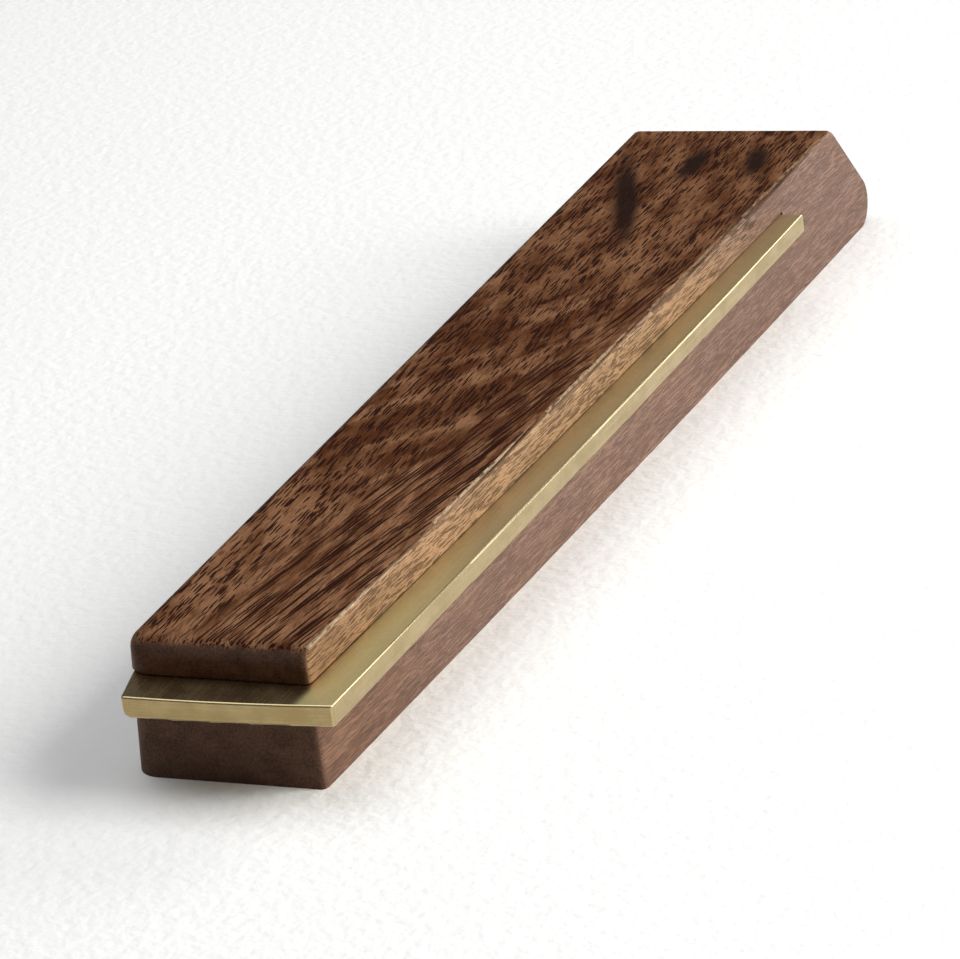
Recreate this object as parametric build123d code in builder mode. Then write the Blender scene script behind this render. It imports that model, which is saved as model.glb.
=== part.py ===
"""Folding bench tool: a flat brass blade that swings out of a slotted walnut handle.

The handle is a glued stack of three walnut layers: a thick lower body, an L-shaped
spacer that closes the slot along the palm side and at the heel, and a thin upper cheek.
The blade turns on a blind steel pin between bronze thrust washers, the lower one on a
conical disc spring, and stands proud of the walnut along one side and at the pivot end.

Millimetres, +Z up.  +Y runs along the handle from the pivot end to the heel, and +X
is the open side of the slot.  The origin is on the table, under the pivot pin.
"""

from build123d import *
import os
from math import radians, sqrt, tan

os.makedirs("parts", exist_ok=True)

# --- handle -------------------------------------------------------------------------
LENGTH_TOP = 167.0  # pivot end to heel, measured on the top face
RAKE = 15.5  # how much further the heel reaches at the table than at the top
WIDTH_NEAR = 22.0  # of the top face, before PALM_EXTRA
WIDTH_FAR = 28.0  # the same, at LENGTH_TOP
SIDE_BOW = 0.5  # the open side is very slightly bellied
END_SKEW = 1.2  # the pivot end runs back by this much towards the palm side
BODY_THICK = 9.8
CHEEK_THICK = 4.0
PALM_EXTRA = 0.6  # how much further the palm side stands out than the open side, at the top
PALM_LEAN = 5.0  # degrees by which the palm side spreads towards the table
PALM_CORNER = 3.5  # upright corner of the pivot end, on the palm side
HEEL_TOP_ROUND = 2.2
HEEL_BOTTOM_ROUND = 3.5
PALM_EASE = 1.8  # rounding of the finished stack's edges, on the palm side and at the ends
OPEN_EASE = 0.8  # the same, all round the open side

# --- blade --------------------------------------------------------------------------
BLADE_THICK = 2.5
FACE_CLEARANCE = 0.1  # between each face of the blade and the walnut
REVEAL_NEAR = 4.7  # how far the blade stands out at the pivot end and beside it
REVEAL_HEEL = 3.3  # how far it stands out beside the heel
BLADE_END = 146.0  # end of the blade, from the pivot end of the walnut
BLADE_BOW = 0.2
TANG_BOW = 0.4  # the tang's end is slightly convex
TANG_RADIUS = 11.2  # the tang's reach towards the palm side, round the pivot
TANG_INSET = 1.7  # how far the slanted side brings the tang's tip in
TANG_SLANT = 7.0  # length of that slanted side
TANG_SOFTEN = 6.0
TIP_ROUND = 0.5
TIP_BELLY = 1.3  # rounding under the slanted side
BACK_GAP = 0.6  # between the working edge and the spacer
NOSE_RADIUS = 11.0
ARRIS = 0.25  # broken edges of the brass
EDGE_LAND = 0.8  # thickness left at the working edge by its two bevels
EDGE_BEVEL = 4.0  # width of each bevel
BEVEL_START = 16.0  # from the pivot axis

# --- pivot --------------------------------------------------------------------------
PIVOT_SETBACK = 13.0  # pivot axis, from the pivot end of the walnut
PIN_DIAMETER = 5.0
PIN_DEPTH_BODY = 6.5
PIN_DEPTH_CHEEK = 2.4
PIN_CHAMFER = 0.3
RUNNING_CLEARANCE = 0.03  # radial, blade on pin
WASHER_DIAMETER = 12.0
WASHER_THICK = 0.5
WASHER_GAP = 0.02  # between each washer and the blade
WASHER_FIT = 0.1  # radial, round the pin and in the pocket
SPRING_DIAMETER = 11.0
SPRING_THICK = 0.35
SPRING_HEIGHT = 0.65

# --- spacer, stop and dowels --------------------------------------------------------
SPINE_WALL = 5.1  # width of the strip along the palm side
STRIP_ROUND = 3.0  # lets the tang's tip pass the strip's end
SLOT_ROUND = 2.0  # inner corner between strip and heel
TANG_STOP_GAP = 0.3  # between the opened tang and the strip's end
HEEL_GAP = 0.5  # between the blade's end and the heel
STOP_DIAMETER = 2.5
STOP_SETBACK = 118.0  # from the pivot end of the walnut
STOP_DEPTH = 2.4
STOP_GAP = 0.1  # between the closed blade and the stop, and over the stop
SPINE_DOWEL_DIAMETER = 2.0
HEEL_DOWEL_DIAMETER = 4.0
DOWEL_DEPTH = 2.4  # into the cheek and into the body
SPINE_DOWEL_SETBACKS = (48.0, 96.0)
HEEL_DOWEL_SETBACK = 156.0
HEEL_DOWEL_SPREAD = 14.0

# --- derived places -----------------------------------------------------------------
near_y = -PIVOT_SETBACK
heel_y = near_y + LENGTH_TOP
foot_y = heel_y + RAKE
middle_y = (near_y + foot_y) / 2
end_y = near_y + BLADE_END
slot_end_y = end_y + HEEL_GAP
tang_y = near_y - REVEAL_NEAR
strip_y = -tang_y + TANG_BOW + TANG_STOP_GAP
taper = (WIDTH_FAR - WIDTH_NEAR) / 2 / LENGTH_TOP  # on each side

slot_floor = BODY_THICK
slot_roof = slot_floor + BLADE_THICK + 2 * FACE_CLEARANCE
height = slot_roof + CHEEK_THICK
palm_spread = height * tan(radians(PALM_LEAN))
blade_floor = slot_floor + FACE_CLEARANCE
blade_roof = blade_floor + BLADE_THICK
lower_washer_floor = blade_floor - WASHER_GAP - WASHER_THICK
upper_washer_floor = blade_roof + WASHER_GAP
spring_floor = lower_washer_floor - SPRING_HEIGHT

pin_radius = PIN_DIAMETER / 2
pocket_radius = WASHER_DIAMETER / 2 + WASHER_FIT
stop_radius = STOP_DIAMETER / 2


def half_width(y):
    """How far the open side reaches at y, leaving out its bow."""
    return WIDTH_NEAR / 2 + taper * (y - near_y)


def palm_x(y):
    """Outside of the handle at y on the palm side, at the top."""
    return -half_width(y) - PALM_EXTRA


def wall_x(y):
    """Inner face of the spacer's strip at y."""
    return palm_x(y) + SPINE_WALL


def edge_x(y):
    """Working edge of the closed blade at y."""
    return wall_x(y) + BACK_GAP


stop_y = near_y + STOP_SETBACK
stop_at = (edge_x(stop_y) - stop_radius - STOP_GAP, stop_y)
spine_dowels_at = [
    (palm_x(near_y + setback) + SPINE_WALL / 2, near_y + setback)
    for setback in SPINE_DOWEL_SETBACKS
]
heel_dowels_at = [
    (side * HEEL_DOWEL_SPREAD / 2, near_y + HEEL_DOWEL_SETBACK) for side in (-1, 1)
]

# --- walnut -------------------------------------------------------------------------
# The blank is the outside of the glued stack: its plan crossed with its side view, trimmed
# to the leaning palm side and eased all round.  Each layer is a slice of it.
with BuildPart() as blank:
    with BuildSketch():
        with BuildLine():
            palm_side = Line(
                (palm_x(foot_y) - 2 * palm_spread, foot_y),
                (palm_x(near_y) - 2 * palm_spread, near_y + END_SKEW),
            )
            pivot_end = Line(palm_side @ 1, (half_width(near_y), near_y))
            open_side = ThreePointArc(
                pivot_end @ 1,
                (half_width(middle_y) + SIDE_BOW, middle_y),
                (half_width(foot_y), foot_y),
            )
            Line(open_side @ 1, palm_side @ 0)
        make_face()
    extrude(amount=height)
    with BuildSketch(Plane.YZ):
        with BuildLine():
            Polyline(
                (near_y - 1, 0), (foot_y, 0), (heel_y, height), (near_y - 1, height), close=True
            )
        make_face()
        heel_corners = vertices().sort_by(Axis.X)[-2:].sort_by(Axis.Y)
        fillet(heel_corners[0], HEEL_BOTTOM_ROUND)
        fillet(heel_corners[1], HEEL_TOP_ROUND)
    extrude(amount=WIDTH_FAR, both=True, mode=Mode.INTERSECT)
    # The palm side leans, so the plan is a little too wide there until this plane trims it.
    near_top = Vector(palm_x(near_y), near_y, height)
    along_palm = Vector(palm_x(foot_y), foot_y, height) - near_top
    down_palm = Vector(-palm_spread, 0, -height)
    palm_plane = Plane(origin=near_top, x_dir=along_palm, z_dir=along_palm.cross(down_palm))
    split(bisect_by=palm_plane, keep=Keep.BOTTOM)
    palm_corner = blank.faces().sort_by(Axis.Y)[0].edges().sort_by(Axis.X)[0]
    fillet(palm_corner, PALM_CORNER)
    # Each rounding runs on through every edge that is tangent to the one it is given.
    palm_edge = blank.faces().sort_by(Axis.Z)[-1].edges().sort_by(Axis.X)[0]
    fillet(palm_edge, PALM_EASE)
    open_edge = blank.faces().sort_by(Axis.Z)[-1].edges().sort_by(Axis.X)[-1]
    fillet(open_edge, OPEN_EASE)

with BuildPart() as lower_body:
    add(blank.part)
    split(bisect_by=Plane.XY.offset(slot_floor), keep=Keep.BOTTOM)
    with BuildSketch(Plane.XY.offset(slot_floor)):
        Circle(pocket_radius)
    extrude(amount=spring_floor - slot_floor, mode=Mode.SUBTRACT)
    with BuildSketch(Plane.XY.offset(slot_floor)):
        Circle(pin_radius)
    extrude(amount=-PIN_DEPTH_BODY, mode=Mode.SUBTRACT)
    with BuildSketch(Plane.XY.offset(slot_floor)):
        with Locations(stop_at):
            Circle(stop_radius)
    extrude(amount=-STOP_DEPTH, mode=Mode.SUBTRACT)
    with BuildSketch(Plane.XY.offset(slot_floor)):
        with Locations(*spine_dowels_at):
            Circle(SPINE_DOWEL_DIAMETER / 2)
        with Locations(*heel_dowels_at):
            Circle(HEEL_DOWEL_DIAMETER / 2)
    extrude(amount=-DOWEL_DEPTH, mode=Mode.SUBTRACT)

with BuildPart() as upper_cheek:
    add(blank.part)
    split(bisect_by=Plane.XY.offset(slot_roof), keep=Keep.TOP)
    with BuildSketch(Plane.XY.offset(slot_roof)):
        Circle(pocket_radius)
    extrude(amount=upper_washer_floor + WASHER_THICK - slot_roof, mode=Mode.SUBTRACT)
    with BuildSketch(Plane.XY.offset(slot_roof)):
        Circle(pin_radius)
    extrude(amount=PIN_DEPTH_CHEEK, mode=Mode.SUBTRACT)
    with BuildSketch(Plane.XY.offset(slot_roof)):
        with Locations(*spine_dowels_at):
            Circle(SPINE_DOWEL_DIAMETER / 2)
        with Locations(*heel_dowels_at):
            Circle(HEEL_DOWEL_DIAMETER / 2)
    extrude(amount=DOWEL_DEPTH, mode=Mode.SUBTRACT)

with BuildPart() as back_spacer:
    add(blank.part)
    split(bisect_by=Plane.XY.offset(slot_roof), keep=Keep.BOTTOM)
    split(bisect_by=Plane.XY.offset(slot_floor), keep=Keep.TOP)
    with BuildSketch(Plane.XY.offset(slot_floor)):
        with BuildLine():
            Polyline(
                (-WIDTH_FAR, near_y - 1),
                (-WIDTH_FAR, strip_y),
                (wall_x(strip_y), strip_y),
                (wall_x(slot_end_y), slot_end_y),
                (WIDTH_FAR, slot_end_y),
                (WIDTH_FAR, near_y - 1),
                close=True,
            )
        make_face()
        wall_corners = vertices().filter_by_position(Axis.X, -WIDTH_FAR / 2, 0).sort_by(Axis.Y)
        fillet(wall_corners[0], STRIP_ROUND)
        fillet(wall_corners[1], SLOT_ROUND)
    extrude(amount=slot_roof - slot_floor, mode=Mode.SUBTRACT)
    with BuildSketch(Plane.XY.offset(slot_floor)):
        with Locations(stop_at):
            Circle(stop_radius)
        with Locations(*spine_dowels_at):
            Circle(SPINE_DOWEL_DIAMETER / 2)
        with Locations(*heel_dowels_at):
            Circle(HEEL_DOWEL_DIAMETER / 2)
    extrude(amount=slot_roof - slot_floor, mode=Mode.SUBTRACT)

# --- brass blade --------------------------------------------------------------------
tang_root_y = sqrt(TANG_RADIUS**2 - edge_x(0) ** 2)
tang_arc_x = TANG_RADIUS * sqrt(0.5)
open_near = (half_width(near_y) + REVEAL_NEAR, tang_y)
open_end = (half_width(end_y) + REVEAL_HEEL, end_y)
tang_tip = (TANG_INSET - TANG_RADIUS, tang_y)
with BuildPart() as blade:
    with BuildSketch(Plane.XY.offset(blade_floor)):
        with BuildLine():
            tang_end = ThreePointArc(
                tang_tip, ((tang_tip[0] + open_near[0]) / 2, tang_y - TANG_BOW), open_near
            )
            proud_side = ThreePointArc(
                open_near,
                ((open_near[0] + open_end[0]) / 2 + BLADE_BOW, (tang_y + end_y) / 2),
                open_end,
            )
            nose = Line(proud_side @ 1, (edge_x(end_y), end_y))
            working_edge = Line(nose @ 1, (edge_x(tang_root_y), tang_root_y))
            tang_back = ThreePointArc(
                working_edge @ 1, (-tang_arc_x * 1.2, tang_arc_x * 0.75), (-TANG_RADIUS, 0)
            )
            tang_side = Line(tang_back @ 1, (-TANG_RADIUS, tang_y + TANG_SLANT))
            Line(tang_side @ 1, tang_end @ 0)
        make_face()
        nose_corner = vertices().sort_by(Axis.Y)[-2:].sort_by(Axis.X)[0]
        fillet(nose_corner, NOSE_RADIUS)
        slant_corner = vertices().sort_by(Axis.X)[:2].sort_by(Axis.Y)[0]
        fillet(slant_corner, TANG_SOFTEN)
        tang_corners = vertices().sort_by(Axis.Y)[:2]
        fillet(tang_corners, TIP_ROUND)
    extrude(amount=BLADE_THICK)
    fillet(blade.faces().sort_by(Axis.Z)[-1].edges() + blade.faces().sort_by(Axis.Z)[0].edges(), ARRIS)
    with BuildSketch(Plane.XY.offset(blade_floor)):
        Circle(pin_radius + RUNNING_CLEARANCE)
    extrude(amount=BLADE_THICK, mode=Mode.SUBTRACT)
    # The slanted side is rounded underneath, and this fades out where the side turns straight.
    slant = Vector(-TANG_INSET, TANG_SLANT).normalized()
    belly_plane = Plane(
        origin=(*tang_tip, blade_floor), x_dir=(slant.Y, -slant.X, 0), z_dir=-slant
    )
    with BuildSketch(belly_plane):
        with Locations((TIP_BELLY, TIP_BELLY)):
            Rectangle(2 * TIP_BELLY, 2 * TIP_BELLY, align=(Align.MAX, Align.MAX))
            Circle(TIP_BELLY, mode=Mode.SUBTRACT)
    extrude(amount=2 * TANG_SLANT, both=True, mode=Mode.SUBTRACT)
    # The working edge is thinned by a bevel on each face, swept along its straight line.
    bevel_plane = Plane(
        origin=(edge_x(BEVEL_START), BEVEL_START, blade_floor + BLADE_THICK / 2),
        x_dir=(1, taper, 0),
        z_dir=(-taper, 1, 0),
    )
    with BuildSketch(bevel_plane):
        with BuildLine():
            Polyline(
                (0, EDGE_LAND / 2),
                (EDGE_BEVEL, BLADE_THICK / 2),
                (EDGE_BEVEL, BLADE_THICK),
                (-BACK_GAP, BLADE_THICK),
                (-BACK_GAP, EDGE_LAND / 2),
                close=True,
            )
        make_face()
        mirror(about=Plane.XZ)
    extrude(amount=end_y, mode=Mode.SUBTRACT)

# --- pivot --------------------------------------------------------------------------
with BuildPart() as pivot_pin:
    with BuildSketch(Plane.XY.offset(slot_floor - PIN_DEPTH_BODY)):
        Circle(pin_radius)
    extrude(amount=PIN_DEPTH_BODY + slot_roof - slot_floor + PIN_DEPTH_CHEEK)
    chamfer(pivot_pin.edges().filter_by(GeomType.CIRCLE), PIN_CHAMFER)

with BuildPart() as lower_washer:
    with BuildSketch(Plane.XY.offset(lower_washer_floor)):
        Circle(WASHER_DIAMETER / 2)
        Circle(pin_radius + WASHER_FIT, mode=Mode.SUBTRACT)
    extrude(amount=WASHER_THICK)

with BuildPart() as upper_washer:
    with BuildSketch(Plane.XY.offset(upper_washer_floor)):
        Circle(WASHER_DIAMETER / 2)
        Circle(pin_radius + WASHER_FIT, mode=Mode.SUBTRACT)
    extrude(amount=WASHER_THICK)

with BuildPart() as disc_spring:
    with BuildSketch(Plane.XZ):
        with BuildLine():
            Polyline(
                (SPRING_DIAMETER / 2, spring_floor),
                (SPRING_DIAMETER / 2, spring_floor + SPRING_THICK),
                (pin_radius + WASHER_FIT, lower_washer_floor),
                (pin_radius + WASHER_FIT, lower_washer_floor - SPRING_THICK),
                close=True,
            )
        make_face()
    revolve(axis=Axis.Z)

# --- stop and dowels ----------------------------------------------------------------
with BuildPart() as stop_pin:
    with BuildSketch(Plane.XY.offset(slot_floor - STOP_DEPTH)):
        with Locations(stop_at):
            Circle(stop_radius)
    extrude(amount=STOP_DEPTH + slot_roof - slot_floor - STOP_GAP)

dowel_length = DOWEL_DEPTH + slot_roof - slot_floor + DOWEL_DEPTH
with BuildPart() as spine_dowels:
    with BuildSketch(Plane.XY.offset(slot_floor - DOWEL_DEPTH)):
        with Locations(*spine_dowels_at):
            Circle(SPINE_DOWEL_DIAMETER / 2)
    extrude(amount=dowel_length)

with BuildPart() as heel_dowels:
    with BuildSketch(Plane.XY.offset(slot_floor - DOWEL_DEPTH)):
        with Locations(*heel_dowels_at):
            Circle(HEEL_DOWEL_DIAMETER / 2)
    extrude(amount=dowel_length)

# --- export -------------------------------------------------------------------------
pieces = {
    "lower_body": lower_body,
    "back_spacer": back_spacer,
    "upper_cheek": upper_cheek,
    "blade": blade,
    "pivot_pin": pivot_pin,
    "lower_washer": lower_washer,
    "upper_washer": upper_washer,
    "disc_spring": disc_spring,
    "stop_pin": stop_pin,
    "spine_dowels": spine_dowels,
    "heel_dowels": heel_dowels,
}
for name, piece in pieces.items():
    piece.part.label = name
    export_step(piece.part, f"parts/{name}.step")
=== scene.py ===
"""Looks of the folding bench tool: oiled walnut, brushed brass, soft daylight on pale paper.

Lengths in the constants are millimetres, in the frame's own axes: +Y along the handle
towards the heel, +X the open side of the slot, +Z up.  Blender works in metres.
"""

import math
from typing import NamedTuple

import bpy
from mathutils import Matrix, Vector


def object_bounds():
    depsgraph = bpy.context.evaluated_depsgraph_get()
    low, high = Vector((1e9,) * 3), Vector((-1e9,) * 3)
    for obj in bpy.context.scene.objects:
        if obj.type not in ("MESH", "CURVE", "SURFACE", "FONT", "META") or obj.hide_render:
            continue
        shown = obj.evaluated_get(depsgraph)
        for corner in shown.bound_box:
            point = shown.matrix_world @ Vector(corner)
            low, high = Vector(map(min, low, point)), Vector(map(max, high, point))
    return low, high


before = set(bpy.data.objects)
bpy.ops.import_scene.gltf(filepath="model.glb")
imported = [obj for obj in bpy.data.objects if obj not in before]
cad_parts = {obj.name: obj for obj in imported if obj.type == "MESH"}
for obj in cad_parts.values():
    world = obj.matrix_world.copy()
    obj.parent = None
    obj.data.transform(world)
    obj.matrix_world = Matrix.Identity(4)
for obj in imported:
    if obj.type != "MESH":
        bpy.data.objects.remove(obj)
cad_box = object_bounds()

MM = 0.001


# --- node graph helper --------------------------------------------------------------
class Graph:
    """A material's node tree, with a short method for each kind of node that is used."""

    def __init__(self, name):
        self.material = bpy.data.materials.new(name)
        self.material.use_nodes = True
        self.tree = self.material.node_tree
        self.tree.nodes.clear()
        self.shader = self.tree.nodes.new("ShaderNodeBsdfPrincipled")
        output = self.tree.nodes.new("ShaderNodeOutputMaterial")
        self.link(self.shader.outputs["BSDF"], output.inputs["Surface"])
        coordinates = self.tree.nodes.new("ShaderNodeTexCoord")
        self.normal = coordinates.outputs["Normal"]
        self.place = self.scale(coordinates.outputs["Object"], (1 / MM,) * 3)

    def link(self, source, socket):
        self.tree.links.new(source, socket)

    def put(self, socket, value):
        """Sets a socket to a number or colour, or links it."""
        if isinstance(value, bpy.types.NodeSocket):
            self.link(value, socket)
        else:
            socket.default_value = value

    def math(self, operation, first, second=0.0, third=0.0, clamp=False):
        node = self.tree.nodes.new("ShaderNodeMath")
        node.operation = operation
        node.use_clamp = clamp
        for socket, value in zip(node.inputs, (first, second, third)):
            self.put(socket, value)
        return node.outputs[0]

    def times(self, *factors):
        """The product of two or more values."""
        product = factors[0]
        for factor in factors[1:]:
            product = self.math("MULTIPLY", product, factor)
        return product

    def vector(self, operation, first, second=(0, 0, 0)):
        node = self.tree.nodes.new("ShaderNodeVectorMath")
        node.operation = operation
        self.put(node.inputs[0], first)
        self.put(node.inputs[1], second)
        return node.outputs["Value" if operation == "LENGTH" else "Vector"]

    def scale(self, vector, factors):
        return self.vector("MULTIPLY", vector, factors)

    def stretch(self, vector, lengths):
        """The vector counted in these lengths along x, y and z."""
        return self.scale(vector, tuple(1 / length for length in lengths))

    def turn(self, vector, degrees, centre=(0, 0, 0)):
        """The vector in axes turned by degrees about +Z at centre."""
        node = self.tree.nodes.new("ShaderNodeMapping")
        node.vector_type = "TEXTURE"
        self.put(node.inputs["Vector"], vector)
        node.inputs["Location"].default_value = centre
        node.inputs["Rotation"].default_value = (0, 0, math.radians(degrees))
        return node.outputs["Vector"]

    def split(self, vector):
        node = self.tree.nodes.new("ShaderNodeSeparateXYZ")
        self.put(node.inputs[0], vector)
        return node.outputs

    def noise(self, vector, cell, detail=2.0, roughness=0.5):
        """Noise with features of the size of cell, as a value and as a colour."""
        node = self.tree.nodes.new("ShaderNodeTexNoise")
        self.put(node.inputs["Vector"], self.stretch(vector, cell))
        node.inputs["Scale"].default_value = 1.0
        node.inputs["Detail"].default_value = detail
        node.inputs["Roughness"].default_value = roughness
        node.inputs["Distortion"].default_value = 0.0
        return node.outputs["Fac"], node.outputs["Color"]

    def cells(self, vector, cell):
        """Distance to the nearest random point, one to a cell, and its random colour."""
        node = self.tree.nodes.new("ShaderNodeTexVoronoi")
        self.put(node.inputs["Vector"], self.stretch(vector, cell))
        node.inputs["Scale"].default_value = 1.0
        return node.outputs["Distance"], node.outputs["Color"]

    def ramp(self, value, low, high, out_low=0.0, out_high=1.0, smooth=True):
        node = self.tree.nodes.new("ShaderNodeMapRange")
        node.interpolation_type = "SMOOTHSTEP" if smooth else "LINEAR"
        node.clamp = True
        for socket, number in zip(node.inputs, (value, low, high, out_low, out_high)):
            self.put(socket, number)
        return node.outputs["Result"]

    def spread(self, noise, low, high):
        """The usual values of a noise, 0.3 to 0.7, spread from low to high."""
        return self.ramp(noise, 0.3, 0.7, low, high)

    def mix(self, factor, first, second, blend="MIX"):
        node = self.tree.nodes.new("ShaderNodeMix")
        node.data_type = "RGBA"
        node.blend_type = blend
        self.put(node.inputs["Factor"], factor)
        self.put(node.inputs["A"], first)
        self.put(node.inputs["B"], second)
        return node.outputs["Result"]

    def bump(self, height, depth_mm, base=None):
        node = self.tree.nodes.new("ShaderNodeBump")
        node.inputs["Strength"].default_value = 1.0
        node.inputs["Distance"].default_value = depth_mm * MM
        self.put(node.inputs["Height"], height)
        if base is not None:
            self.put(node.inputs["Normal"], base)
        return node.outputs["Normal"]


def colour(red, green, blue):
    """An sRGB colour, 0 to 255, as Blender's linear one."""
    channels = []
    for value in (red, green, blue):
        part = value / 255
        channels.append(part / 12.92 if part <= 0.04045 else ((part + 0.055) / 1.055) ** 2.4)
    return (*channels, 1.0)


# --- walnut -------------------------------------------------------------------------
HEARTWOOD_LIGHT = colour(150, 110, 79)
HEARTWOOD_MID = colour(118, 79, 52)
HEARTWOOD_DARK = colour(76, 38, 12)
PORE_DARK = colour(36, 9, 0)
MINERAL_DARK = colour(24, 10, 4)
# The end grain's own colour; on the cheek's end it is also the painted reflection of the sky.
DRY_END_AND_REFLECTION = colour(74, 56, 47)
# The cheek's end grain, darker than the other boards'.
DARKER_END = colour(62, 38, 26)
# Flank colours: painted light on the sides, partly the quarter-cut faces' own paler colour.
TAN_LIT_FLANK = colour(198, 162, 124)
MAUVE_LIT_FLANK = colour(153, 127, 114)
# Painted highlight along the eased top edge of the open side.
EDGE_HIGHLIGHT = colour(222, 196, 158)
WOOD_GLOSS = 0.08

# Vessels cut open at the surface show as dark dashes: the width, length and width of the
# space that each has to itself, and how much of it the dash fills.
SHORT_PORES = (0.38, 4.0, 0.38), 0.46
LONG_PORES = (0.4, 12.0, 0.4), 0.5
FINE_PORES = (0.22, 1.5, 0.22), 0.4
THINNER_ON_FLANK = (1.0, 1.0, 1.9, 1.0)
PORES_SHOWN = 0.97, 0.6  # on the faces, on the flanks
LAYER_SHIFT = (17.1, 41.3, 5.2)

# Sizes of the noises' features along x, y and z.
DRIFT_CELL = (15.0, 45.0, 15.0)
BORDER_CELL = (2.5, 14.0, 2.5)
PATCH_CELL = (2.6, 9.0, 2.6)
STREAK_CELL = (1.1, 45.0, 1.1)
CURL_CELL = (3.2, 14.0, 3.2)
FIBRE_CELL = (0.14, 3.5, 0.14)
DUST_CELL = (0.28, 0.28, 0.22)
CLOUD_CELL = (2.4, 2.4, 2.4)
HIGHLIGHT_GAP_CELL = (0.3, 1.6, 0.3)

DRIFT_REACH = (2.4, 4.0, 2.4)  # the grain bends by up to half of this each way
BORDER_WANDER = 1.6
BORDER_SOFT = 1.5
CURL_TURN = 22.0  # degrees, from the growth rings
CURL_FADE_IN = 12.0
CURL_FADE_OUT = 15.0
MARK_STRENGTH = 0.95
PORE_DEPTH = 0.05
NAP_DEPTH = 0.014

# Where a part of the surface begins and is complete: by the size of the normal's x or y for
# the first two, by z for the next three, and by x for the last.
FLANK_FACING = 0.42, 0.8
END_FACING = 0.45, 0.85
# Height above which the cheek's end is painted with the sky's reflection.
REFLECTION_ABOVE = 14.3, 15.3
# Where the painted edge highlight lies: between these heights, beyond this x.
HIGHLIGHT_ABOVE = 16.1, 16.2
HIGHLIGHT_BELOW = 16.44, 16.34
HIGHLIGHT_BEYOND = 6.0, 8.0

# Changes along the handle, from y to y, and the amounts that go with two of them.
# How much of the painted flank light shows along the handle.
FLANK_LIGHT_GROWS = -13.0, 30.0
FLANK_LIGHT_SHARE = 0.36, 0.64
HIGHLIGHT_FADES = 30.0, 120.0
HEEL_DARKENS = 70.0, 130.0
HEEL_DEPTH = 0.22
# Where the painted flank light turns from tan to mauve.
FLANK_LIGHT_TURNS_MAUVE = 95.0, 130.0


class Board(NamedTuple):
    """How one piece of walnut is cut and coloured.

    shift moves the pattern, so that no two boards look alike.  lean and ring_lean are the
    angles of the grain and of the growth rings to the handle.  flank_light colours the
    quarter-cut faces, partly their own paler colour and partly painted light, and end_tint
    colours the end grain.  Short dashes give way to long lined-up
    ones from x = lines_from on, which is past the board unless it is given.  A curl crosses
    the grain over the stretch of y that figure gives, and patches is the contrast between
    light and dark areas.  Each of marks is a dark streak seen on the top face: x, y, angle,
    length and width.
    """

    shift: tuple
    lean: float
    ring_lean: float
    flank_light: tuple
    end_tint: tuple
    lines_from: float = 50.0
    figure: tuple = (0.0, 1.0)
    patches: float = 1.0
    marks: tuple = ()


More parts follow.
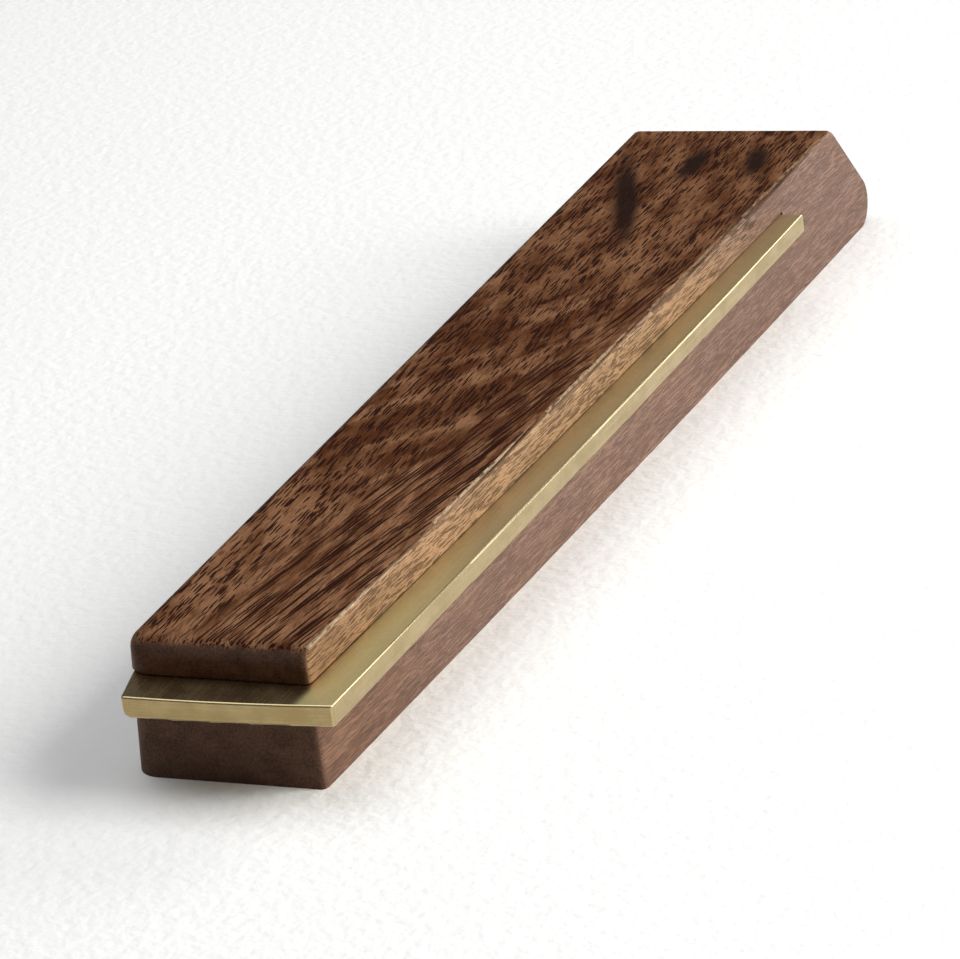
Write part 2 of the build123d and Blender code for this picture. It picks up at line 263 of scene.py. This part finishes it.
class Walnut(Graph):
    """The node tree of one board, with the places and noises that its layers share."""

    def __init__(self, name, board):
        super().__init__(name)
        self.board = board
        self.across, self.along, self.height = self.split(self.place)
        self.facing = self.split(self.vector("ABSOLUTE", self.normal))
        self.flank = self.ramp(self.facing[0], *FLANK_FACING)
        self.end_grain = self.ramp(self.facing[1], *END_FACING)

        self.moved = self.vector("ADD", self.place, board.shift)
        _, slow = self.noise(self.moved, DRIFT_CELL, detail=1.0)
        self.drift = self.scale(self.vector("SUBTRACT", slow, (0.5, 0.5, 0.5)), DRIFT_REACH)
        self.here = self.vector("ADD", self.place, self.drift)
        self.grain = self.vector("ADD", self.turn(self.here, board.lean), board.shift)
        self.rings = self.vector("ADD", self.turn(self.here, board.ring_lean), board.shift)

        self.fibre, _ = self.noise(self.grain, FIBRE_CELL, detail=3.0, roughness=0.6)
        self.streak, _ = self.noise(self.rings, STREAK_CELL)
        self.dust, _ = self.noise(self.moved, DUST_CELL, detail=4.0, roughness=0.7)
        patch, _ = self.noise(self.grain, PATCH_CELL, detail=4.0, roughness=0.6)
        contrast = board.patches
        self.shade = self.ramp(patch, 0.36, 0.68, 0.56 - 0.32 * contrast, 0.56 + 0.42 * contrast)

    def lined(self):
        """1 where the vessels stand in long rows, past a border that wanders."""
        border, _ = self.noise(self.grain, BORDER_CELL)
        ring_across = self.split(self.turn(self.here, self.board.ring_lean))[0]
        wander = self.spread(border, -BORDER_WANDER, BORDER_WANDER)
        start = self.board.lines_from
        return self.ramp(
            self.math("ADD", ring_across, wander), start - BORDER_SOFT, start + BORDER_SOFT
        )

    def curl(self):
        """Depth of colour that the curl adds."""
        turned = self.turn(self.here, self.board.ring_lean - CURL_TURN)
        curl, _ = self.noise(self.vector("ADD", turned, self.board.shift), CURL_CELL, detail=3.0)
        start, end = self.board.figure
        return self.times(
            self.ramp(self.along, start - CURL_FADE_IN, start + CURL_FADE_IN),
            self.ramp(self.along, end + CURL_FADE_OUT, end - CURL_FADE_OUT),
            self.ramp(curl, 0.36, 0.62, -0.05, 0.6),
        )

    def depth(self, lined):
        """Depth of colour, 0 light to 1 dark, from the broad patches to the single fibre."""
        rows = self.ramp(self.streak, 0.52, 0.66, 0.0, 0.45)
        depth = self.math("MULTIPLY_ADD", rows, lined, self.shade)
        depth = self.math("ADD", depth, self.curl())
        depth = self.math("ADD", depth, self.ramp(self.along, *HEEL_DARKENS, 0.0, HEEL_DEPTH))
        return self.math("ADD", depth, self.spread(self.fibre, -0.2, 0.2))

    def heartwood(self, depth):
        """The colours of that depth, with the dark marks."""
        wood = self.mix(self.ramp(depth, 0.0, 0.6, smooth=False), HEARTWOOD_LIGHT, HEARTWOOD_MID)
        wood = self.mix(self.ramp(depth, 0.5, 1.2, smooth=False), wood, HEARTWOOD_DARK)
        for mark in self.board.marks:
            wood = self.mix(self.times(self.spindle(mark), MARK_STRENGTH), wood, MINERAL_DARK)
        return wood

    def spindle(self, mark):
        """A soft, ragged spindle on the top face."""
        x, y, angle, length, width = mark
        local = self.turn(self.place, angle, (x, y, 0))
        local = self.vector("ADD", local, self.scale(self.drift, (0.5, 0.8, 0)))
        reach = self.vector("LENGTH", self.scale(local, (2 / width, 2 / length, 0)))
        return self.ramp(reach, 1.25, 0.35)

    def paint_flank_light(self, wood):
        """Painted light on the flanks, partly their own paler colour: tan, mauve towards the heel."""
        tint = self.mix(self.ramp(self.along, *FLANK_LIGHT_TURNS_MAUVE), self.board.flank_light, MAUVE_LIT_FLANK)
        share = self.times(self.flank, self.ramp(self.along, *FLANK_LIGHT_GROWS, *FLANK_LIGHT_SHARE))
        return self.mix(share, wood, tint)

    def vessels(self, grain, kind, crowd, layers=1):
        """Long thin hollows along the grain: 1 inside one, 0 in solid wood."""
        cell, reach = kind
        found = 0.0
        for layer in range(layers):
            shifted = self.vector("ADD", grain, tuple(layer * step for step in LAYER_SHIFT))
            distance, random = self.cells(shifted, cell)
            limit = self.times(self.ramp(random, 0.0, 1.0, 0.5, 1.0), reach, crowd)
            hollow = self.ramp(self.math("DIVIDE", distance, limit), 1.0, 0.86)
            found = self.math("MAXIMUM", found, hollow)
        return found

    def pores(self, lined):
        """Short vessels, long ones in rows, and a fine sort in between."""
        lined = self.math("MAXIMUM", lined, self.times(self.flank, 0.5))
        thinner = self.mix(self.flank, (1.0, 1.0, 1.0, 1.0), THINNER_ON_FLANK)
        grain = self.scale(self.grain, thinner)
        rings = self.scale(self.rings, thinner)
        crowd = self.ramp(self.shade, 0.2, 0.9, 0.86, 1.1)
        trail = self.ramp(self.streak, 0.36, 0.6, 0.78, 1.14)
        short = self.vessels(grain, SHORT_PORES, crowd, layers=2)
        short = self.times(short, self.ramp(lined, 0.0, 1.0, 1.0, 0.3))
        long = self.times(self.vessels(rings, LONG_PORES, trail, layers=2), lined)
        fine = self.times(self.vessels(grain, FINE_PORES, crowd), 0.5)
        return self.math("MAXIMUM", self.math("MAXIMUM", short, long), fine)

    def ends(self, bare):
        """End grain: dusty, with the sky's reflection painted paler along its rounded top edge."""
        cloud, _ = self.noise(self.moved, CLOUD_CELL)
        dusty = self.math("ADD", self.spread(self.dust, 0.55, 1.3), self.spread(cloud, 0.0, 0.3))
        # Painted reflection of the sky on the end's rounded top edge and the band above it.
        reflection = self.math(
            "MAXIMUM", self.ramp(self.facing[2], 0.1, 0.5), self.ramp(self.height, *REFLECTION_ABOVE)
        )
        ends = self.mix(0.15, self.board.end_tint, bare)
        ends = self.mix(self.times(reflection, 0.75), ends, DRY_END_AND_REFLECTION)
        return self.mix(1.0, ends, dusty, "MULTIPLY")

    def paint_edge_highlight(self):
        """Painted highlight: a pale cream line along the eased top edge of the open side."""
        gaps, _ = self.noise(self.moved, HIGHLIGHT_GAP_CELL, detail=4.0, roughness=0.65)
        return self.times(
            self.ramp(self.height, *HIGHLIGHT_ABOVE),
            self.ramp(self.height, *HIGHLIGHT_BELOW),
            self.ramp(self.across, *HIGHLIGHT_BEYOND),
            self.ramp(self.facing[1], 0.35, 0.2),
            self.ramp(gaps, 0.4, 0.56, 0.12, 0.8),
            self.ramp(self.along, *HIGHLIGHT_FADES, 1.0, 0.3),
        )

    def oil(self, wood, pores, edge):
        """A thin oil finish: satin fibres, matt hollows, both in relief."""
        satin = self.math("MULTIPLY_ADD", edge, -0.2, self.spread(self.fibre, 0.46, 0.58))
        rough = self.math("MAXIMUM", satin, self.times(pores, 0.9))
        hollow = self.times(pores, self.math("SUBTRACT", self.end_grain, 1.0))
        nap = self.math("MULTIPLY_ADD", self.dust, self.end_grain, self.fibre)
        self.put(self.shader.inputs["Base Color"], wood)
        self.put(self.shader.inputs["Roughness"], rough)
        self.shader.inputs["Specular IOR Level"].default_value = WOOD_GLOSS
        self.put(self.shader.inputs["Normal"], self.bump(nap, NAP_DEPTH, self.bump(hollow, PORE_DEPTH)))


def walnut(name, board):
    """One board of oiled walnut."""
    graph = Walnut(name, board)
    lined = graph.lined()
    # The flanks get painted light, partly their own paler colour.
    bare = graph.paint_flank_light(graph.heartwood(graph.depth(lined)))
    pores = graph.pores(lined)
    shown = graph.times(pores, graph.ramp(graph.flank, 0.0, 1.0, *PORES_SHOWN))
    wood = graph.mix(shown, bare, PORE_DARK)
    wood = graph.mix(graph.end_grain, wood, graph.ends(bare))
    # Painted highlight along the open side's top edge, where the finish is also a little smoother.
    edge = graph.paint_edge_highlight()
    graph.oil(graph.mix(edge, wood, EDGE_HIGHLIGHT), pores, edge)
    return graph.material


# --- metals -------------------------------------------------------------------------
BRASS = colour(212, 193, 150)
# Colour of tarnished brass, also used as painted shade on the end faces.
BRASS_DULL_AND_SHADED = colour(162, 140, 96)
RUBBED_GAIN = (1.26, 1.38, 1.3, 1.0)
HANDLED_BEYOND = 10.6, 12.1
RUBBED_ALONG = 34.0, 0.0
HANDLED_ROUGHER = 0.22
ARRIS_ROUGHNESS = 0.36
FACE_LINES = (0.09, 30.0, 1.0)
EDGE_LINES = (11.0, 11.0, 0.07)
LINE_DEPTH = 0.0009
BLOOM_CELL = (3.0, 5.0, 3.0)
SPECK_CELL = (0.35, 0.6, 0.35)

GROUND_STEEL = colour(190, 191, 194)
SPRING_STEEL = colour(150, 152, 158)
BRONZE = colour(196, 146, 96)
TURNED_DARK = colour(120, 112, 104)
TURNED_LINES = (1.5, 1.5, 0.05)
TURNED_DEPTH = 0.003


def brushed_lines(graph, on_face):
    """Fine lines along the blade on its faces, and along the filing on its edges."""
    along_face, _ = graph.noise(graph.place, FACE_LINES, detail=3.0, roughness=0.7)
    along_edge, _ = graph.noise(graph.place, EDGE_LINES, detail=3.0, roughness=0.7)
    lines = graph.times(graph.math("SUBTRACT", along_face, along_edge), on_face)
    return graph.math("ADD", lines, along_edge)


def dullness_and_shade(graph, facing, lines, off_arris):
    """0 polished, 1 tarnished, in clouds, specks and lines, more on side edges; painted shade on ends.
    """
    bloom, _ = graph.noise(graph.place, BLOOM_CELL, detail=4.0, roughness=0.6)
    speck, _ = graph.noise(graph.place, SPECK_CELL, detail=3.0, roughness=0.6)
    dull_and_shade = graph.spread(bloom, 0.25, 0.5)
    dull_and_shade = graph.math("ADD", dull_and_shade, graph.ramp(lines, 0.35, 0.65, -0.1, 0.1))
    dull_and_shade = graph.math("ADD", dull_and_shade, graph.ramp(speck, 0.56, 0.72, 0.0, 0.15))
    # Painted shade: the end faces darker, standing in for the shaded floor that they reflect.
    dull_and_shade = graph.math("MULTIPLY_ADD", graph.ramp(facing[1], 0.8, 0.98), 0.5, dull_and_shade)
    dull_and_shade = graph.math("MULTIPLY_ADD", graph.ramp(facing[0], 0.6, 0.9), 0.25, dull_and_shade)
    return graph.math("MULTIPLY", dull_and_shade, off_arris, clamp=True)


def brass(name):
    """Brushed sheet brass with bright arrises.

    The strip that stays outside the slot is handled more than the rest: it has lost its
    polish, and near the tang, where the thumb lies, it is rubbed bright.
    """
    graph = Graph(name)
    facing = graph.split(graph.vector("ABSOLUTE", graph.normal))
    on_face = graph.ramp(facing[2], 0.85, 0.97)
    on_arris = graph.times(graph.ramp(facing[2], 0.3, 0.5), graph.ramp(facing[2], 0.98, 0.88))
    off_arris = graph.math("SUBTRACT", 1.0, on_arris)
    across, along, _ = graph.split(graph.place)
    handled = graph.times(graph.ramp(across, *HANDLED_BEYOND), on_face)
    rubbed = graph.times(handled, graph.ramp(along, *RUBBED_ALONG))

    lines = brushed_lines(graph, on_face)
    # Tarnish, with painted shade on the end faces.
    dull_and_shade = dullness_and_shade(graph, facing, lines, off_arris)
    tone = graph.mix(rubbed, graph.mix(dull_and_shade, BRASS, BRASS_DULL_AND_SHADED), RUBBED_GAIN, "MULTIPLY")
    rough = graph.ramp(dull_and_shade, 0.0, 1.0, 0.2, 0.4)
    rough = graph.math("MULTIPLY_ADD", handled, HANDLED_ROUGHER, rough)
    rough = graph.math("MAXIMUM", rough, graph.times(on_arris, ARRIS_ROUGHNESS))
    graph.put(graph.shader.inputs["Base Color"], tone)
    graph.put(graph.shader.inputs["Roughness"], rough)
    graph.shader.inputs["Metallic"].default_value = 1.0
    graph.put(graph.shader.inputs["Normal"], graph.bump(graph.times(lines, off_arris), LINE_DEPTH))
    return graph.material


def plain_metal(name, tint, roughness):
    """Ground steel or bronze, with turning lines round the part."""
    graph = Graph(name)
    lines, _ = graph.noise(graph.place, TURNED_LINES, detail=3.0)
    tone = graph.mix(graph.spread(lines, 0.0, 1.0), tint, TURNED_DARK)
    graph.put(graph.shader.inputs["Base Color"], tone)
    graph.put(graph.shader.inputs["Roughness"], graph.spread(lines, roughness, roughness + 0.12))
    graph.shader.inputs["Metallic"].default_value = 1.0
    graph.put(graph.shader.inputs["Normal"], graph.bump(lines, TURNED_DEPTH))
    return graph.material


# --- the object ---------------------------------------------------------------------
BODY = Board((31.0, 12.0, 4.0), 1.0, -1.0, MAUVE_LIT_FLANK, DRY_END_AND_REFLECTION, patches=0.5)
SPACER = Board((-20.0, 60.0, 9.0), 0.0, 1.0, MAUVE_LIT_FLANK, DRY_END_AND_REFLECTION, patches=0.5)
DOWEL = Board((50.0, 5.0, 40.0), 0.0, 0.0, TAN_LIT_FLANK, DRY_END_AND_REFLECTION)
CHEEK = Board(
    shift=(3.0, -8.0, 17.0),
    lean=1.0,
    ring_lean=-8.0,
    flank_light=TAN_LIT_FLANK,
    end_tint=DARKER_END,
    lines_from=-3.5,
    figure=(35.0, 95.0),
    patches=0.85,
    marks=(
        (-5.0, 127.0, 19.7, 41.0, 4.1),
        (-0.6, 140.5, 1.0, 15.0, 3.8),
        (7.8, 142.0, 12.0, 14.0, 3.8),
    ),
)

finishes = {
    "lower_body": walnut("walnut_body", BODY),
    "back_spacer": walnut("walnut_spacer", SPACER),
    "upper_cheek": walnut("walnut_cheek", CHEEK),
    "blade": brass("brass_brushed"),
    "pivot_pin": plain_metal("steel_ground", GROUND_STEEL, 0.25),
    "lower_washer": plain_metal("bronze_washer", BRONZE, 0.3),
    "disc_spring": plain_metal("steel_spring", SPRING_STEEL, 0.35),
    "spine_dowels": walnut("dowel_wood", DOWEL),
}
finishes["upper_washer"] = finishes["lower_washer"]
finishes["stop_pin"] = finishes["pivot_pin"]
finishes["heel_dowels"] = finishes["spine_dowels"]

for node, material in finishes.items():
    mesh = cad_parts[node].data
    mesh.materials.clear()
    mesh.materials.append(material)


# --- floor, light and camera --------------------------------------------------------
FLOOR_HALF = 3.0  # metres
PAPER = colour(248, 248, 247)
PAPER_RELIEF = 0.18
WEAVE_CELL = (1.7, 1.7, 1.7)
WEAVE_TURN = 20.0
TOOTH_CELL = (0.5, 0.5, 0.5)

# Area lights: place and side in metres, power in watts, colour.
SOFTBOXES = {
    "window": ((0.95, 0.08, 0.6), 0.7, 13.0, (1.0, 0.985, 0.965)),
    "ceiling": ((-0.3, 0.15, 1.3), 1.3, 9.3, (0.97, 0.985, 1.0)),
    "back_window": ((0.5, 1.1, 0.46), 0.6, 5.4, (1.0, 0.99, 0.97)),
}
LIT_POINT = Vector((0.0, 0.06, 0.0))
ROOM_TINT = (0.95, 0.97, 1.0, 1.0)
ROOM_LIGHT = 0.09

AIM = Vector((3.17, 53.41, 8.2)) * MM
DISTANCE = 626.8 * MM
AZIMUTH = math.radians(25.24)
ELEVATION = math.radians(21.38)
ROLL = math.radians(8.31)
LENS = 198.5
SENSOR = 36.0


def paper_floor():
    """A plain sheet of pale paper under the object."""
    graph = Graph("paper")
    graph.shader.inputs["Base Color"].default_value = PAPER
    graph.shader.inputs["Roughness"].default_value = 0.95
    graph.shader.inputs["Specular IOR Level"].default_value = 0.1
    weave, _ = graph.noise(graph.turn(graph.place, WEAVE_TURN), WEAVE_CELL, detail=1.0)
    tooth, _ = graph.noise(graph.place, TOOTH_CELL)
    height = graph.math("MULTIPLY_ADD", tooth, 0.25, weave)
    graph.put(graph.shader.inputs["Normal"], graph.bump(height, PAPER_RELIEF))
    bpy.ops.mesh.primitive_plane_add(size=2 * FLOOR_HALF, location=(0, 0, cad_box[0][2]))
    floor = bpy.context.object
    floor.name = "floor"
    floor.data.materials.append(graph.material)


def softbox(name, place, side, power, tint):
    """A square area light at place, aimed at the middle of the object."""
    data = bpy.data.lights.new(name, "AREA")
    data.shape = "SQUARE"
    data.size = side
    data.energy = power
    data.color = tint
    lamp = bpy.data.objects.new(name, data)
    bpy.context.scene.collection.objects.link(lamp)
    lamp.location = place
    lamp.rotation_euler = (LIT_POINT - Vector(place)).to_track_quat("-Z", "Y").to_euler()


def room_light():
    """Faint light from all round."""
    world = bpy.data.worlds.new("room")
    bpy.context.scene.world = world
    world.use_nodes = True
    background = world.node_tree.nodes["Background"]
    background.inputs["Color"].default_value = ROOM_TINT
    background.inputs["Strength"].default_value = ROOM_LIGHT


def photo_camera():
    """A long lens, low over the near end, rolled clockwise."""
    away = Vector(
        (
            math.sin(AZIMUTH) * math.cos(ELEVATION),
            -math.cos(AZIMUTH) * math.cos(ELEVATION),
            math.sin(ELEVATION),
        )
    )
    right = Vector((0, 0, 1)).cross(away).normalized()
    up = away.cross(right)
    turned_right = right * math.cos(ROLL) - up * math.sin(ROLL)
    turned_up = right * math.sin(ROLL) + up * math.cos(ROLL)
    turned = Matrix((turned_right, turned_up, away)).transposed().to_4x4()
    data = bpy.data.cameras.new("camera")
    data.lens = LENS
    data.sensor_width = SENSOR
    data.clip_start = 0.01
    camera = bpy.data.objects.new("camera", data)
    bpy.context.scene.collection.objects.link(camera)
    camera.matrix_world = Matrix.Translation(AIM + away * DISTANCE) @ turned
    bpy.context.scene.camera = camera


paper_floor()
for name, values in SOFTBOXES.items():
    softbox(name, *values)
room_light()
bpy.context.scene.view_settings.view_transform = "Standard"
photo_camera()
